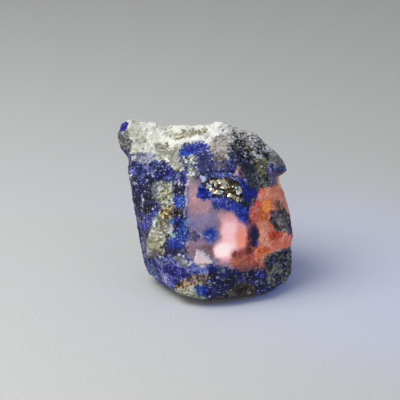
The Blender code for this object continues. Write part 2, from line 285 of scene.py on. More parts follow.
# Zones that the photograph shows, in the order that they are painted: mineral, softness of the
# border in pixels, and outline.
FRONT_ZONES = [
    # Field under everything, and the slate band below the horn.
    ("slate_navy", 6, [(112, 150), (300, 150), (300, 310), (112, 310)]),
    ("violet_edge", 1.5, [(126, 158), (131, 157), (132, 176), (129, 177)]),
    ("lavender", 2, oval(147, 166, 3, 3)),
    ("royal_lavender", 2, oval(133.5, 171, 3.5, 3)),
    ("violet_navy", 2, oval(171, 172, 7, 5, 10)),
    ("night", 1.5, oval(165, 162.5, 3, 2)),
    ("night", 2, oval(135, 178, 4.5, 4)),
    ("lilac_cream", 1.5, oval(134.5, 184.5, 2.2, 2.4)),
    ("deep_indigo", 2.5, [(131, 187), (141, 184), (144, 200), (143, 214), (136, 216), (132, 200)]),
    ("night", 2, [(143, 183), (151, 183), (153, 196), (154, 208), (150, 215), (143, 214), (142, 198)]),
    ("blue_violet", 2.5, [
        (137, 215), (152, 214), (160, 208), (161, 214), (153, 226), (148, 238), (142, 240),
        (139, 226),
    ]),
    ("vivid_violet", 2, oval(145.5, 227, 3.2, 2.6)),
    ("grey_speckle", 1.5, oval(141, 219, 2.8, 3.4)),
    ("royal", 1.5, oval(155.5, 216.5, 3, 3.5)),
    ("violet_edge", 1.5, [(140, 230), (147, 229), (148.5, 245), (148.5, 259), (144, 259), (141, 243)]),
    # Dark and blue patches right of the grey-green band.
    ("slate_navy", 1.5, [(174, 171), (187, 171), (188, 182), (175, 182)]),
    ("night_violet", 1.5, [(171, 184), (187, 182), (187, 191), (182, 196), (173, 196)]),
    ("royal", 1.5, [(174, 197), (184, 195), (186, 202), (184, 209), (175, 208)]),
    ("cerulean", 1.5, oval(181, 200, 3, 3)),
    ("brown_night", 1.5, [(173, 209), (184, 208), (184, 217), (174, 217)]),
    ("royal", 2, [
        (169, 218), (192, 217), (194, 228), (192, 240), (186, 247), (176, 249), (168, 246),
        (170, 240), (175, 238), (174, 226),
    ]),
    ("vivid_violet", 1.5, oval(176, 219.5, 2.5, 2)),
    ("sky", 1.5, oval(171.5, 221.5, 2, 1.8)),
    ("sky", 2, oval(188.5, 220.5, 2.8, 3.4)),
    ("teal_blue", 1.5, oval(184, 219.3, 1.6, 2.6)),
    ("grey_speckle", 1.5, oval(175, 226.5, 3.8, 3.2)),
    ("cerulean", 2, oval(184.5, 230, 4, 5)),
    ("royal_vivid", 2, [(169, 240), (182, 239), (184, 247), (172, 249)]),
    ("indigo_brown", 2, [(166, 248), (181, 248), (185, 252), (178, 256), (167, 255)]),
    ("teal_grey", 1.2, oval(181.5, 250.5, 1.8, 1.5)),
    # Grey-green granular band that winds down the left.
    ("sage", 1.5, [
        (152, 183), (161, 181), (171, 183), (172, 192), (175, 200), (174, 214), (169, 221),
        (173, 227), (174, 238), (169, 235), (165, 237), (164, 246), (166, 252), (161, 257),
        (149, 255), (147, 244), (149, 231), (152, 222), (157, 215), (161, 208), (158, 202),
        (152, 198),
    ]),
    ("sage_blue", 1.5, [(151, 184), (157, 182), (158, 198), (153, 198)]),
    ("sage_olive", 1.5, [(164, 189), (171, 190), (172, 198), (163, 200), (161, 205), (158, 200)]),
    ("sage_gold", 1.5, [(162, 206), (173, 207), (173, 216), (164, 219), (160, 214)]),
    ("rust_red", 1.2, oval(171.5, 213.5, 1.6, 3)),
    ("sage_dull", 2, [(156, 218), (168, 218), (168, 226), (158, 227)]),
    ("sage_green", 1.5, oval(158, 223, 2.4, 3)),
    ("white_patch", 1.2, [(152, 220), (155.5, 220), (155, 228), (151, 229)]),
    ("cream_sage", 2, [(150, 229), (165, 225), (171, 229), (169, 236), (163, 244), (148, 244)]),
    ("lilac_cream", 1.2, oval(170.5, 229.5, 2.6, 4.5)),
    ("pale_cyan", 1.2, oval(172.8, 236, 2.4, 2.8)),
    ("cream_oval", 1.5, [
        (148, 243), (153, 238), (160, 237), (164, 241), (164, 248), (158, 250), (149, 250),
    ]),
    ("lilac_cream", 1, [(146.5, 243), (149, 242), (150, 253), (147.5, 253)]),
    ("sage_dull", 1.2, [(150, 249), (164, 248.5), (164, 253), (151, 254)]),
    ("mauve_grey", 1.2, [(149, 252.5), (164, 252.5), (164, 256), (149, 256)]),
    ("night", 1, [(165, 236), (169, 235.5), (168, 246), (165, 251)]),
    # Violet granular field at the lower left.
    ("violet_field", 1.5, [
        (146, 258), (164, 257), (170, 254), (174, 259), (188, 266), (200, 268), (208, 265),
        (216, 266), (208, 274), (192, 275), (182, 283), (170, 287), (156, 281), (147, 272),
    ]),
    ("violet_deep", 2, [(163, 265), (172, 262), (184, 267), (188, 272), (180, 277), (168, 275)]),
    ("slate_grain", 2, [(149, 262), (156, 262), (158, 275), (150, 275)]),
    ("royal_deep", 1.5, oval(155, 262.5, 1.6, 3.5)),
    ("grey_speckle", 1, [(147, 256), (164, 255.5), (164, 258.5), (147, 259)]),
    ("lavender", 1.2, [(161.5, 273), (166, 273), (168, 281), (162, 281.5)]),
    ("royal_deep", 2, oval(185, 275.5, 4, 3)),
    ("lens_grey", 1.2, [(172, 256), (180, 256), (187, 260), (190, 265), (186, 267), (178, 263)]),
    # Pink and mauve window. Its upper left beside the ridge is painted darker as shade, and its pale
    # middle is painted as lit and glowing, a painted highlight and painted glow.
    ("mauve", 2.5, [
        (188, 176), (199, 179), (202, 190), (214, 205), (232, 212), (246, 221), (254, 240),
        (250, 262), (240, 268), (222, 268), (212, 264), (204, 264), (196, 262), (186, 256),
        (186, 244), (190, 236), (187, 214), (187, 196),
    ]),
    ("beige_grey", 2, oval(191.5, 180, 3, 4)),
    ("dusty_pink", 3, [
        (189, 184), (199, 184), (204, 196), (212, 205), (208, 215), (196, 216), (189, 211),
    ]),
    ("rose", 2.5, oval(194.5, 200, 3, 6)),
    ("lilac_mauve", 3, [(190, 215), (208, 214), (219, 215), (217, 226), (203, 229), (194, 228)]),
    ("blue_haze", 2.5, oval(192, 224, 3.5, 3.5)),
    ("mauve_speckle", 1.5, [(189, 228), (197, 232), (201, 237), (201, 241), (191, 242), (188, 235)]),
    ("mauve_rose", 3, [(188, 243), (202, 241), (212, 246), (206, 252), (196, 252), (186, 253)]),
    ("mauve_brown", 2.5, oval(208, 248, 6.5, 3, 12)),
    ("dark_mauve", 1.5, oval(186.5, 250, 2, 3.6)),
    ("shell_pink", 4, [
        (218, 214), (232, 213), (243, 219), (249, 230), (251, 246), (246, 254), (230, 262),
        (217, 264), (211, 256), (216, 246), (222, 236),
    ]),
    # Painted highlight and painted glow: the pale middle, where the window's hollow faces up into the
    # light.
    ("pale_shell", 3.5, [
        (223, 222), (234, 221), (239, 232), (236, 250), (228, 258), (216, 258), (214, 248),
        (222, 240),
    ]),
    # Painted highlight and painted glow at the brightest spot of the hollow's upturned lower part.
    ("cream_pink", 3.5, oval(223.5, 250.5, 9.5, 7, -20)),
    ("salmon", 3.5, [(237, 228), (245, 228), (249, 240), (248, 250), (238, 250), (235, 240)]),
    ("coral_brown", 2, [(246, 224), (250, 228), (251, 246), (247, 250)]),
    ("smoke_pink", 2, oval(216, 261, 4, 3)),
    ("mauve_taupe", 1.5, [(204, 251), (212, 250), (214, 257), (211, 261), (207, 256)]),
    ("terracotta", 3, [
        (232, 252), (240, 250), (252, 246), (264, 248), (266, 262), (264, 272), (250, 272),
        (238, 270), (229, 265),
    ]),
    ("clay", 2.5, oval(241, 262, 7, 5)),
    ("rosy_clay", 2, [(238, 267), (254, 266), (264, 266), (264, 273), (244, 272)]),
    ("dark_clay", 2, oval(250, 249.5, 3.5, 3.5)),
    ("coral_pink", 1.5, oval(252.5, 259, 3, 5)),
    ("dark_clay", 1.5, [(256, 257), (263, 255), (265, 266), (257, 266)]),
    ("royal_soft", 3, oval(210.5, 235, 7.5, 7.5)),
    # Painted highlight on the chip facet low in the window, which is also raised so that it tilts.
    ("blade_highlight", 0.8, [
        (196, 249.5), (203, 252.6), (208.5, 258.7), (212.5, 263), (207.5, 265), (201.5, 263.3),
        (195, 264), (192.5, 260), (195, 255.5),
    ]),
    ("wedge", 1, [(193, 263), (201.5, 263.3), (206, 266.5), (200, 267.5)]),
    # Orange side.
    ("apricot", 2, [
        (257, 191), (260, 187), (273, 187), (277, 176), (284, 172), (284, 190), (288, 204),
        (293, 214), (294, 250), (268, 256), (262, 266), (255, 262), (256, 240), (250, 224),
        (249, 209), (256, 199),
    ]),
    ("mauve_taupe", 1.2, oval(259, 190, 1.8, 2.2)),
    ("tangerine", 1.5, oval(262.3, 191.5, 2, 3)),
    ("apricot_light", 1.5, [(278.5, 176), (284, 174), (284, 187), (278.5, 188)]),
    ("coral_red", 1.5, oval(258.5, 204, 2.6, 4.5)),
    ("amber", 2, oval(267, 205.5, 4.4, 6.5)),
    ("red_orange", 1.2, oval(270.8, 207, 1.4, 4)),
    ("burnt_orange", 2, [(258, 209), (268, 210), (268, 219), (262, 222), (257, 218)]),
    ("coral_pink", 2, [(251, 208), (257, 208), (257, 221), (253, 225), (249, 221)]),
    ("wine", 1.5, oval(249.5, 221, 2, 3.6)),
    ("brown_orange", 2, oval(279.5, 205, 5, 6)),
    ("taupe_brown", 2, [
        (271, 212), (284, 208), (290, 214), (292, 228), (284, 233), (274, 230), (269, 221),
    ]),
    ("mauve_grey", 1.5, oval(273.5, 215, 2.6, 3)),
    ("wine", 1.2, oval(271.5, 212, 1.8, 3)),
    ("umber_red", 1.2, oval(276.5, 226, 2.8, 2.2)),
    ("olive_cream", 1.2, oval(282, 222.5, 2.4, 2.6)),
    ("plum_grey", 1.2, [(288, 222), (292.5, 222), (292.5, 237), (288.5, 237)]),
    ("peach", 2, [(256, 223), (269, 223), (268, 245), (260, 246), (259, 232)]),
    ("fire", 1.5, [(268, 232), (282, 231), (281, 238), (275, 241), (268, 240)]),
    ("coral_light", 2, [
        (272, 241), (282, 237), (293, 234), (293, 248), (282, 250), (270, 254), (266, 252),
    ]),
    ("burnt_orange", 1.5, [(257, 248), (268, 247), (268, 254), (258, 257)]),
    ("fire", 1.2, oval(266.5, 249, 3, 2.4)),
    ("plum", 2, oval(253.8, 236, 6, 12.5, -6)),
    ("ink_navy", 1.5, oval(255, 237, 4, 10, -5)),
    ("navy_vivid", 1, oval(257.2, 243.5, 1.8, 3.6)),
    ("wine", 1.2, oval(250, 242, 1.4, 5)),
    # Blue around the pyrite.
    ("slate_navy", 2, [
        (197, 168), (216, 165), (232, 167), (240, 176), (232, 181), (212, 179), (203, 182),
    ]),
    ("teal_blue", 1.2, oval(226, 173.8, 2.6, 2.2)),
    ("royal_deep", 2.5, [
        (240, 179), (247, 184), (258, 189), (257, 200), (250, 210), (248, 226), (242, 222),
        (236, 212), (243, 204),
    ]),
    ("green_night", 1.5, [(239, 201), (247, 200), (250, 206), (245, 212), (240, 208)]),
    ("royal", 1.5, [(197, 188), (203, 186), (213, 192), (212, 200), (203, 201), (197, 197)]),
    ("lavender", 1.2, oval(200.5, 186, 2.4, 1.6)),
    ("royal_lavender", 2, [(213, 198), (228, 199), (233, 206), (229, 212), (218, 208), (212, 204)]),
    ("teal_blue", 1.2, oval(217, 206.5, 2.2, 1.8)),
    ("royal_vivid", 3, [(227, 200), (240, 203), (247, 212), (247, 224), (240, 221), (231, 211)]),
    ("brown_grey", 1.2, oval(253.5, 201.5, 2.6, 4, 20)),
    ("steel", 1.5, oval(248, 182, 2.6, 4)),
    # Painted highlight: the glint beside the pyrite, painted pale.
    ("glint", 1, oval(202, 177.8, 2.4, 3.8, -25)),
    ("sky", 1, oval(205.8, 178, 1.2, 3)),
    ("rust_red", 1.5, oval(242, 173.5, 3.6, 4.6)),
    ("rust_cream", 1, [(238, 166), (240.5, 167), (236.5, 177), (233, 175)]),
    ("navy_vivid", 1, oval(234.3, 179, 3.6, 2.2)),
    # Painted shade: the dark, sunken bed in the gaps between the pyrite lumps.
    ("brass_bed_and_gap_shade", 1.2, [
        (205, 184), (209, 179), (219, 178), (229, 178), (238, 184), (242, 190), (244, 201),
        (239, 202), (228, 198), (216, 194), (207, 190),
    ]),
    # Blue and taupe patches under the middle of the crust.
    ("indigo_haze", 2.5, [(196, 156), (212, 155), (214, 168), (205, 172), (196, 168)]),
    ("dusk_purple", 2.5, oval(220, 166.5, 7, 3.6)),
    ("shoulder_grey", 2.5, [
        (226, 124), (258, 128), (288, 156), (288, 166), (268, 168), (250, 166), (232, 152),
    ]),
    ("smoke", 2.5, [(243, 165), (262, 162), (268, 176), (260, 190), (250, 188), (243, 176)]),
    ("soot", 2, [(230, 131), (238, 132), (252, 142), (253, 156), (238, 157), (230, 150)]),
    ("ink", 2, [(227, 150), (243, 149), (246, 158), (242, 166), (231, 163)]),
    ("brown_grey", 1.5, oval(225.5, 156, 2.2, 6)),
    ("shoulder_white", 1.5, [
        (228, 123), (236, 123), (256, 130), (259, 136), (250, 135), (236, 130), (230, 131),
    ]),
    ("olive", 1.5, [(254, 161), (267, 158), (268, 177), (258, 179)]),
    ("olive_black", 1.5, [(257, 177), (268, 174), (273, 184), (268, 188), (259, 187)]),
    ("knob_grey", 2, [(271, 152), (284, 154), (288, 166), (272, 168)]),
    ("umber", 1.2, oval(268, 159, 2.6, 3.6)),
    ("rust_cream", 1, oval(276.5, 160, 1.6, 1.8)),
    ("slate_navy", 1, oval(270.5, 166.3, 2.6, 1.8)),
    ("purple_grey", 1.5, [(268, 170), (277, 171), (278, 185), (273, 186), (269, 177)]),
    ("teal", 1, oval(280.5, 168.8, 4.5, 1.4)),
    ("royal_deep", 1, oval(280, 171.3, 5, 1.4)),
    ("rosy_brown", 1.2, oval(281, 174.8, 2.8, 2)),
    # Crust and horn.
    ("chalk", 2, [
        (114, 114), (262, 114), (262, 130), (240, 126), (232, 130), (229, 142), (222, 150),
        (212, 150), (208, 142), (196, 141), (184, 146), (179, 152), (178, 160), (184, 169),
        (179, 173), (172, 166), (164, 160), (150, 161), (140, 159), (131, 156), (124, 152),
        (114, 140),
    ]),
    ("taupe", 3, [(212, 138), (229, 135), (230, 148), (226, 158), (216, 160), (210, 148)]),
    ("taupe_dark", 2, oval(219, 158, 6, 4.5)),
    ("chalk_bright", 2.5, oval(151.5, 135, 8, 7)),
    ("chalk_bright", 1.5, oval(211, 128, 6, 3.5)),
    # Painted shade: greenish-grey shading on the crust's lumps.
    ("chalk_shade", 2, oval(140, 141, 5.5, 5)),
    ("chalk_lilac", 1.5, [
        (128, 156), (134, 153), (156, 154), (158, 160), (150, 163), (136, 163), (129, 162),
    ]),
    ("white_patch", 1.2, oval(134, 158.5, 2.6, 3)),
    ("cream_grey", 2, [(155, 145), (170, 144), (169, 154), (163, 160), (156, 159)]),
    ("sage", 1.5, oval(160, 157, 4.5, 2.8)),
    ("cream_grey", 1.5, [(166, 152), (178, 149), (179, 160), (182, 168), (176, 168), (169, 160)]),
    ("olive", 1, oval(178, 170.5, 2.6, 2.4)),
    ("olive_streak", 1.5, [
        (174, 137), (182, 132), (192, 130), (207, 129), (208, 132), (196, 135), (186, 139),
        (176, 142),
    ]),
    ("royal", 2, [
        (178, 154), (184, 147), (192, 145), (200, 142), (207, 143), (208, 150), (198, 155),
        (190, 158), (181, 158),
    ]),
    ("violet_navy", 1.5, oval(199, 148, 6, 3.2, -15)),
    ("teal_blue", 1.2, oval(180, 153, 1.8, 3)),
    ("royal_vivid", 1.5, oval(189.5, 151.5, 5.5, 2.8, -20)),
    ("lavender", 1.2, oval(206.8, 147, 1.4, 2.8)),
    ("white_speckle", 1.5, [(181, 156), (197, 155), (197, 162), (189, 165), (182, 163)]),
    ("sage", 2, [(186, 166), (196, 166), (199, 176), (191, 178)]),
    ("horn_grey", 1.5, [(114, 131), (130, 131), (132, 144), (130, 152), (120, 150)]),
    # Painted shade: blue-grey under the horn, where it overhangs.
    ("indigo_haze", 1.5, [(119, 148), (129, 150), (131, 158), (126, 161)]),
    ("horn_blue", 1.2, [(116, 118), (126, 119), (128, 124), (128, 131), (122, 132), (117, 133)]),
    # Lower edge.
    ("ink", 3, [(214, 274), (224, 268), (240, 271), (268, 270), (290, 276), (290, 300), (206, 304)]),
    ("royal_deep", 1.5, oval(213.5, 269, 5, 4)),
    ("teal_grey", 1.5, oval(223, 271, 2.8, 3.2)),
    ("speckle", 1.2, oval(214.5, 277, 4.5, 2)),
    ("speckle", 1.2, oval(212, 284.5, 3.6, 1.8)),
    ("rust", 1.5, [
        (175, 286), (184, 280), (193, 275), (206, 274), (210, 278), (206, 284), (196, 286),
        (186, 290), (178, 291),
    ]),
    ("rust_orange", 1.2, oval(183.5, 285.3, 6.5, 1.8, -8)),
    ("rosy_brown", 1.2, oval(193.5, 281.5, 2.6, 1.8)),
    ("cream_green", 1.5, [
        (172, 289), (184, 289), (193, 286), (196, 296), (210, 299), (206, 304), (190, 303),
        (178, 297),
    ]),
    ("royal", 1.5, [(193, 289), (198, 286.5), (206, 286.5), (209, 291), (205, 296.5), (197, 296.5)]),
    ("deep_indigo", 2, oval(213, 291.5, 4.5, 4.5)),
    ("umber", 2.5, [(227, 289), (236, 284), (248, 283), (257, 288), (252, 297), (228, 298)]),
    ("olive_block", 2, [
        (266, 262), (270, 254), (280, 250), (293, 247), (294, 270), (286, 285), (272, 288),
        (266, 280),
    ]),
    ("plum_grey", 1.5, oval(274, 260, 3.2, 4.5)),
    ("plum_grey", 1, oval(286.5, 251.5, 4.5, 1.8)),
    ("olive_cream", 1, oval(272.5, 270.5, 2, 2)),
    ("violet_navy", 1.5, oval(258, 275.5, 2.8, 3.2)),
]

# Thin lines on the front: mineral, width in pixels, and points.
FRONT_LINES = [
    # Painted highlight: a thin light line on the ridge at the window's left edge, where it catches the
    # light.
    ("lilac_grain", 1.3, [
        (188, 174), (187.8, 184), (185.5, 192), (186, 196), (187, 201), (185.7, 207), (183.8, 212),
        (184.6, 216),
    ]),
    # Painted highlight: a thin light line along the step in the window.
    ("lilac_grain", 1.0, [(184.7, 223.7), (191.3, 226.7), (196.4, 230.3), (200.5, 234), (201.8, 237.5)]),
    ("lilac_grain", 0.8, [(201.8, 237), (205, 236.5), (209, 238)]),
    ("lilac_cream", 0.9, [(142, 195), (143.2, 201), (143, 207)]),
    ("lavender", 1.1, [(171, 261.3), (165.8, 264.7), (161.8, 266), (162.3, 269), (161.5, 273)]),
    ("lavender", 0.9, [(172, 261), (175, 264.5), (181, 267)]),
    ("lavender", 0.9, [(210.6, 193.6), (211.6, 198), (207, 200.4), (201.4, 199.2)]),
    ("lilac_grain", 0.8, [(231.5, 177.5), (234.5, 179.5), (237.5, 178)]),
    ("lilac_cream", 0.8, [(185.2, 246.3), (188, 243), (191.3, 240.7)]),
    # Painted highlight along the top edge of the chip facet.
    ("white_grain", 1.3, [(200.5, 252.5), (205.5, 256), (208.5, 259.5), (211.5, 262.5)]),
    ("brown_grey", 1.6, [(278.8, 201), (279.6, 211)]),
    ("mauve_grey", 1.0, [(265, 258), (265.6, 268)]),
    ("knob_grey", 0.9, [(252, 176), (256, 174), (260, 172)]),
    ("knob_grey", 0.9, [(256.5, 176), (258, 181), (261, 184.5)]),
    ("rust_cream", 1.0, [(266.5, 255.5), (271, 254.5), (274.5, 252), (280, 250.3), (290, 247.2)]),
    ("brown_grey", 0.9, [(208.6, 299), (218, 297.8), (226, 296)]),
    ("olive_black", 1.0, [(176, 138), (180, 139), (184, 137)]),
]

# Single grains and pits on the front: mineral, radius in pixels, and places.
FRONT_SPOTS = [
    # White specks: white grains, and painted glints where grains catch the light.
    ("white_grain", 1.3, [(190.7, 262.2), (178.8, 254.8), (186, 161.5), (211.5, 127.5)]),
    ("white_grain", 0.9, [
        (184, 158), (162.5, 187.5), (160.2, 212.2), (171.2, 202.2), (187, 174.7), (178.6, 184),
        (179.6, 215.5), (171.4, 226.7), (166, 230), (158, 231.5), (159.7, 257), (186.6, 261.7),
        (189.7, 264.3), (163.3, 253.2), (183, 256.3), (208.6, 255.4), (233, 137.5), (261.5, 166.5),
        (131.5, 175.5), (152.5, 209), (142.2, 211), (139, 150.5), (145, 147.5), (151, 152),
    ]),
    ("lilac_grain", 0.9, [
        (174.5, 183.2), (181.4, 185), (176, 182), (179.5, 192.5), (157.2, 261), (158.6, 263),
        (183, 243.5), (208, 170), (213, 176), (219, 169.5), (223, 178),
    ]),
    ("sage_gold", 1.0, [(167.3, 211.4), (166, 213.5), (164.5, 214.8), (181, 284.5), (186, 283.6)]),
    # Pits: small sunken spots painted near-black, painted shade inside the holes, along with dark
    # specks.
    ("pit", 1.1, [
        (161.3, 247.6), (163, 246.8), (179.2, 284.8), (187.2, 285.6), (167, 142.5), (167, 145.5),
    ]),
    ("pit", 0.8, [
        (162, 147.6), (164.5, 147.8), (166, 130), (170.5, 136.4), (192, 133), (196, 131), (205, 131),
        (125, 147), (259.4, 260), (240, 145), (235, 141), (246, 150), (262, 148), (256, 143),
        (183, 286.2),
    ]),
]

# Zones on the rest of the stone, in its own frame: mineral, softness in millimetres, centre and
# radii in millimetres.
BODY_ZONES = [
    ("slate_navy", 1.2, (-3.0, 6.0, 10.0), (5.0, 3.0, 4.0)),
    ("blue_violet", 1.0, (-6.5, 3.0, 4.5), (3.0, 3.0, 3.5)),
    ("royal", 1.0, (3.0, 6.5, 12.0), (3.4, 2.6, 2.4)),
    ("sage", 0.7, (-1.5, 6.8, 5.5), (2.4, 2.4, 4.2)),
    ("ink", 0.8, (-6.8, 1.5, 9.0), (1.6, 2.2, 2.6)),
    ("dusty_pink", 1.2, (4.6, 6.6, 7.0), (3.0, 2.2, 3.2)),
    ("apricot", 1.2, (9.0, 2.0, 7.4), (2.4, 3.2, 4.4)),
    ("coral_light", 1.0, (9.0, 1.0, 4.4), (2.4, 2.4, 1.8)),
    ("taupe_brown", 0.8, (9.2, 1.2, 8.0), (1.4, 1.6, 1.6)),
    ("olive_block", 1.0, (8.6, 1.0, 1.6), (2.6, 3.6, 1.8)),
    ("shoulder_grey", 1.2, (6.6, 3.0, 14.0), (3.4, 4.2, 2.8)),
    ("chalk", 0.8, (-2.0, 1.6, 17.6), (9.0, 4.4, 2.6)),
    ("olive_streak", 0.8, (1.0, 4.6, 15.0), (3.0, 1.6, 0.9)),
    ("soot", 0.6, (3.6, 5.6, 9.6), (1.2, 1.2, 0.8)),
    ("cream_green", 1.2, (-2.0, 1.0, -0.4), (4.0, 3.4, 1.6)),
    ("ink", 1.0, (4.0, 0.0, -0.6), (4.4, 4.0, 1.8)),
]

# Lumps of pyrite on the front, in photograph pixels: centre, half sizes, and how bright, which is a
# painted reflection: lumps that catch the light are painted pale, the others dark.
BRASS_LUMPS = [
    ((211.5, 182.3), (3.4, 2.6), 0.95),
    ((208.8, 187.0), (3.8, 2.4), 0.85),
    ((223.0, 182.2), (5.2, 3.8), 1.0),
    ((216.3, 184.5), (2.0, 3.2), 0.55),
    ((223.5, 187.8), (3.4, 1.6), 0.85),
    ((218.0, 192.6), (5.0, 2.2), 0.80),
    ((212.6, 190.4), (3.0, 2.0), 0.65),
    ((228.0, 186.5), (3.0, 3.6), 0.25),
    ((234.8, 188.0), (3.6, 4.0), 0.12),
    ((238.8, 191.4), (2.8, 4.2), 0.95),
    ((229.5, 195.6), (2.6, 2.2), 0.90),
    ((233.6, 197.2), (2.8, 2.6), 0.55),
    ((237.4, 199.0), (2.2, 2.8), 0.80),
    ((241.6, 200.0), (1.8, 2.2), 0.30),
    ((227.0, 191.0), (2.6, 2.6), 0.20),
    ((207.0, 183.6), (1.8, 1.4), 0.70),
]

# Lengths over which zone borders wander, as {width in mm: wander in mm}.
FRONT_WANDER = {1.6: 0.08, 0.5: 0.09}
BODY_WANDER = {2.4: 0.50, 0.8: 0.25}


def hash_cells(cells, seed, channel):
    """A repeatable value from 0 to 1 for each whole-number cell."""
    x, y, z = (cells[..., axis].astype(np.int64).astype(np.uint32) for axis in range(3))
    mixed = x * np.uint32(374761393) + y * np.uint32(668265263) + z * np.uint32(2246822519)
    mixed += np.uint32((seed * 977 + channel * 131071 + 12345) % 2**32)
    mixed = (mixed ^ (mixed >> np.uint32(13))) * np.uint32(1274126177)
    mixed = (mixed ^ (mixed >> np.uint32(16))) * np.uint32(2654435761)
    return (mixed ^ (mixed >> np.uint32(15))) / 2.0**32


def cloud(points, width, seed):
    """Smooth noise from -1 to 1 with features about one width across."""
    q = points / width
    cell = np.floor(q)
    f = q - cell
    f = f * f * (3 - 2 * f)
    total = np.zeros(len(points))
    for corner in np.ndindex(2, 2, 2):
        weight = np.prod(np.where(np.array(corner) == 1, f, 1 - f), axis=1)
        total += weight * hash_cells(cell + corner, seed, 0)
    return total * 2 - 1


def grains(points, width, seed):
    """The crystal grain that holds each point: its middle, in millimetres, and its tilted height
    there, about -1 to 1. Grains are about one width across."""
    q = points / width
    home = np.floor(q)
    best = np.full(len(points), np.inf)
    rise = np.zeros(len(points))
    middle = np.zeros_like(q)
    for step in np.ndindex(3, 3, 3):
        cell = home + np.array(step) - 1
        centre = cell + np.stack([hash_cells(cell, seed, c) for c in (1, 2, 3)], axis=-1)
        gap = q - centre
        distance = (gap**2).sum(axis=1)
        nearer = distance < best
        tilt = np.stack([hash_cells(cell, seed, c) for c in (4, 5, 6)], axis=-1) * 2 - 1
        height = hash_cells(cell, seed, 7) * 2 - 1
        rise = np.where(nearer, 0.55 * height + (tilt * gap).sum(axis=1), rise)
        middle = np.where(nearer[:, None], centre, middle)
        best = np.where(nearer, distance, best)
    return middle * width, rise


def own_value(middles, seed, channel):
    """A repeatable value from 0 to 1 for each grain, by its middle."""
    return hash_cells(np.round(middles * 1000), seed, channel)


def camera_axes():
    forward = np.array([0.0, math.cos(CAMERA_ELEVATION), -math.sin(CAMERA_ELEVATION)])
    right = np.array([1.0, 0.0, 0.0])
    return right, np.cross(right, forward), forward


def eye_point():
    return AIM - CAMERA_DISTANCE * camera_axes()[2]


def to_pixels(points):
    """Where points in millimetres fall in the photograph's frame."""
    right, up, forward = camera_axes()
    seen = points - eye_point()
    scale = CAMERA_DISTANCE / (seen @ forward) / PIXEL_MM
    half = FRAME_PIXELS / 2
    return np.stack([half + (seen @ right) * scale, half - (seen @ up) * scale], axis=1)


def smooth_step(low, high, value):
    t = np.clip((value - low) / (high - low), 0.0, 1.0)
    return t * t * (3 - 2 * t)


def line_distance(pixels, a, b):
    """Distance of each point from the straight line between two places."""
    along = b - a
    gap = pixels - a
    t = np.clip((gap @ along) / (along @ along), 0, 1)
    return np.sqrt(((gap - t[:, None] * along) ** 2).sum(axis=1))


def outline_depth(pixels, outline):
    """Signed distance from an outline, in pixels: negative inside it."""
    corners = np.array(outline, float)
    nearest = np.full(len(pixels), np.inf)
    inside = np.zeros(len(pixels), bool)
    for a, b in zip(corners, np.roll(corners, -1, axis=0)):
        nearest = np.minimum(nearest, line_distance(pixels, a, b))
        crosses = (a[1] > pixels[:, 1]) != (b[1] > pixels[:, 1])
        slope = (b[0] - a[0]) / (b[1] - a[1]) if b[1] != a[1] else 0.0
        inside ^= crosses & (pixels[:, 0] < a[0] + (pixels[:, 1] - a[1]) * slope)
    return np.where(inside, -1, 1) * nearest


def close_to(pixels, places, reach):
    """The points within reach of the box that holds some places."""
    places = np.array(places, float)
    low, high = places.min(axis=0) - reach, places.max(axis=0) + reach
    return np.flatnonzero(((pixels > low) & (pixels < high)).all(axis=1))


def linear(colour):
    """8-bit sRGB to linear values from 0 to 1."""
    c = np.array(colour, float) / 255
    return np.where(c <= 0.04045, c / 12.92, ((c + 0.055) / 1.055) ** 2.4)


def fine_stone():
    """A fine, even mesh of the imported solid, in millimetres."""
    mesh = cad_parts["stone"].data.copy()
    mesh.transform(Matrix.Scale(1 / MM, 4))
    stone = bpy.data.objects.new("stone_surface", mesh)
    bpy.context.scene.collection.objects.link(stone)
    remesh = stone.modifiers.new("grid", "REMESH")
    remesh.mode = "VOXEL"
    remesh.voxel_size = GRID
    smooth = stone.modifiers.new("smooth", "SMOOTH")
    smooth.iterations = SMOOTHING
    evaluated = stone.evaluated_get(bpy.context.evaluated_depsgraph_get())
    fine = bpy.data.meshes.new_from_object(evaluated)
    stone.modifiers.clear()
    stone.data = fine
    refine_front(fine)
    return stone


def refine_front(mesh):
    """Halves the grid where the stone faces the camera, which is where its finest zones lie."""
    shape = bmesh.new()
    shape.from_mesh(mesh)
    shape.normal_update()
    eye = Vector(eye_point())
    front = set()
    for face in shape.faces:
        if face.normal.dot((eye - face.verts[0].co).normalized()) > 0.0:
            front.update(face.edges)
    bmesh.ops.subdivide_edges(shape, edges=list(front), cuts=1, use_grid_fill=True)
    bmesh.ops.triangulate(shape, faces=[face for face in shape.faces if len(face.verts) > 4])
    shape.to_mesh(mesh)
    shape.free()


def mesh_points(mesh):
    flat = np.empty(len(mesh.vertices) * 3)
    mesh.vertices.foreach_get("co", flat)
    return flat.reshape(-1, 3)


def mesh_normals(mesh):
    flat = np.empty(len(mesh.vertices) * 3)
    mesh.vertex_normals.foreach_get("vector", flat)
    return flat.reshape(-1, 3)


def wander(points, reaches):
    """Points moved about by noise, so that the zones' borders run unevenly."""
    drift = np.zeros_like(points)
    for width, reach in reaches.items():
        for axis in range(3):
            drift[:, axis] += reach * cloud(points, width, 40 + axis)
    return points + drift


